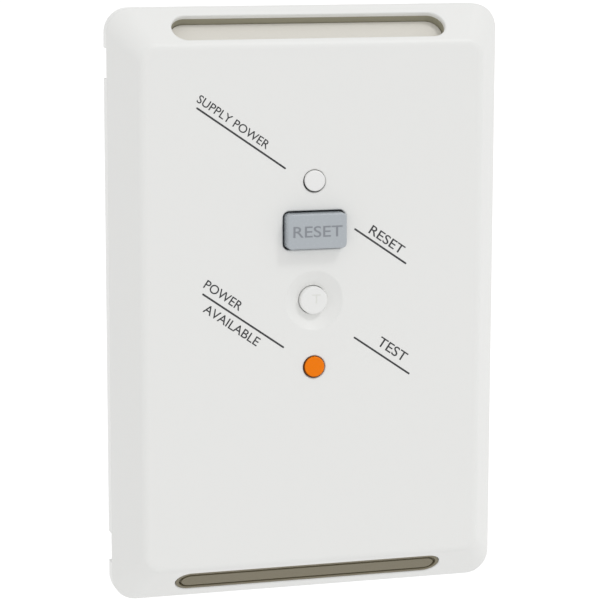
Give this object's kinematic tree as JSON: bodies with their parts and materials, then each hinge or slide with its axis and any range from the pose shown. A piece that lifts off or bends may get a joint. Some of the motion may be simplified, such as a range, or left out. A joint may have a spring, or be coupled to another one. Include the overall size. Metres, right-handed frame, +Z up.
{
  "type": "residual current device wall plate",
  "caption": "Wall plate with sloping edges and a residual current device behind it: sprung reset and test buttons, lamp lenses, label slots and a rear case with wire terminals.",
  "frame": {"origin": "middle of the plate's back on the wall plane, midway between the wall screws", "axes": "+X to the right as seen from the room, +Y into the wall, +Z up"},
  "size_m": [0.079, 0.0444, 0.117],
  "materials": {
    "cover_white": "satin moulded thermoplastic",
    "button_grey": "fine satin",
    "button_white": "satin",
    "lens_clear": "polished clear polycarbonate",
    "lens_orange": "polished tinted polycarbonate",
    "holder_olive": "satin moulded nylon",
    "label_card": "blank printed card",
    "grid_grey": "satin moulded polycarbonate",
    "case_grey": "satin moulded polycarbonate",
    "chassis_black": "glass-filled nylon",
    "carriage_red": "glass-filled nylon",
    "board_green": "solder resist on glass epoxy",
    "chip_black": "moulded epoxy",
    "arrestor_blue": "dipped epoxy",
    "film_yellow": "moulded box",
    "can_sleeve": "shrink sleeve on a can",
    "resistor_tan": "lacquer",
    "diode_black": "moulded epoxy",
    "lamp_glass": "clear epoxy",
    "lamp_orange": "tinted epoxy",
    "spring_steel": "drawn wire",
    "plated_steel": "zinc plated",
    "yoke_steel": "nickel plated strip",
    "copper": "bare copper strip",
    "copper_wire": "enamelled wire",
    "terminal_brass": "machined",
    "contact_silver": "silver alloy",
    "tinned_lead": "tinned",
    "bobbin_nylon": "natural nylon",
    "link_brown": "insulated conductor",
    "link_blue": "insulated conductor",
    "core_grey": "coated ring core"
  },
  "bodies": {
    "wall_unit": {"cover_plate": "cover_white", "grid_plate": "grid_grey", "label_strip_top": "label_card", "label_blank_bottom": "holder_olive", "label_holder_top": "holder_olive", "label_holder_bottom": "holder_olive", "reset_spring": "spring_steel", "test_blade": "copper", "test_stud": "terminal_brass", "supply_lens": "lens_clear", "power_lens": "lens_orange", "mechanism_lid": "case_grey", "case_sides": "case_grey", "case_ends": "case_grey", "case_back": "case_grey", "case_supports": "case_grey", "housing_screws": "plated_steel", "circuit_board": "board_green", "control_chip": "chip_black", "surge_arrestor": "arrestor_blue", "film_capacitor": "film_yellow", "smoothing_capacitor": "can_sleeve", "trip_thyristor": "chip_black", "board_resistors": "resistor_tan", "board_diodes": "diode_black", "test_resistor": "resistor_tan", "supply_lamp": "lamp_glass", "power_lamp": "lamp_orange", "mechanism_chassis": "chassis_black", "line_contact_strips": "copper", "load_contact_strips": "copper", "load_terminal_tabs": "copper", "fixed_tips": "contact_silver", "opening_springs": "spring_steel", "latch_pin": "plated_steel", "latch_spring": "spring_steel", "solenoid_bobbin": "bobbin_nylon", "solenoid_coil": "copper_wire", "solenoid_yoke": "yoke_steel", "sensing_core": "core_grey", "sense_winding": "copper_wire", "active_link": "link_brown", "neutral_link": "link_blue", "supply_pins": "tinned_lead", "sense_leads": "tinned_lead", "coil_leads": "tinned_lead", "line_terminals": "terminal_brass", "load_terminals": "terminal_brass", "earth_terminal": "terminal_brass", "terminal_screws": "plated_steel"},
    "reset_push": {"reset_button": "button_grey", "reset_clip": "spring_steel"},
    "test_push": {"test_button": "button_white"},
    "carriage": {"contact_carriage": "carriage_red", "moving_contacts": "copper", "moving_tips": "contact_silver", "contact_springs": "spring_steel"},
    "latch": {"latch_lever": "plated_steel"},
    "plunger": {"trip_plunger": "yoke_steel"}
  },
  "joints": [
    {"name": "reset_press", "type": "slide", "parent": "wall_unit", "child": "reset_push", "axis": [0, 1, 0], "range_m": [0, 0.0018], "stiffness_N_per_m": 400, "springref_m": -0.003, "deforming": ["reset_spring"]},
    {"name": "test_press", "type": "slide", "parent": "wall_unit", "child": "test_push", "axis": [0, 1, 0], "range_m": [0, 0.0011], "stiffness_N_per_m": 400, "springref_m": -0.001, "deforming": ["test_blade"]},
    {"name": "carriage_slide", "type": "slide", "parent": "wall_unit", "child": "carriage", "axis": [0, 1, 0], "range_m": [0, 0.0022], "deforming": ["opening_springs"]},
    {"name": "latch_turn", "type": "hinge", "parent": "wall_unit", "child": "latch", "pos_m": [0, 0.0114, 0.00797], "axis": [-1, 0, 0], "range_deg": [0, 12], "deforming": ["latch_spring"]},
    {"name": "plunger_pull", "type": "slide", "parent": "wall_unit", "child": "plunger", "axis": [0, 0, -1], "range_m": [0, 0.00137]}
  ],
  "couplings": [
    {"joint": "latch_turn", "follows": "carriage_slide", "rad_per_m": 95.19},
    {"joint": "plunger_pull", "follows": "carriage_slide", "ratio": 0.6227}
  ]
}
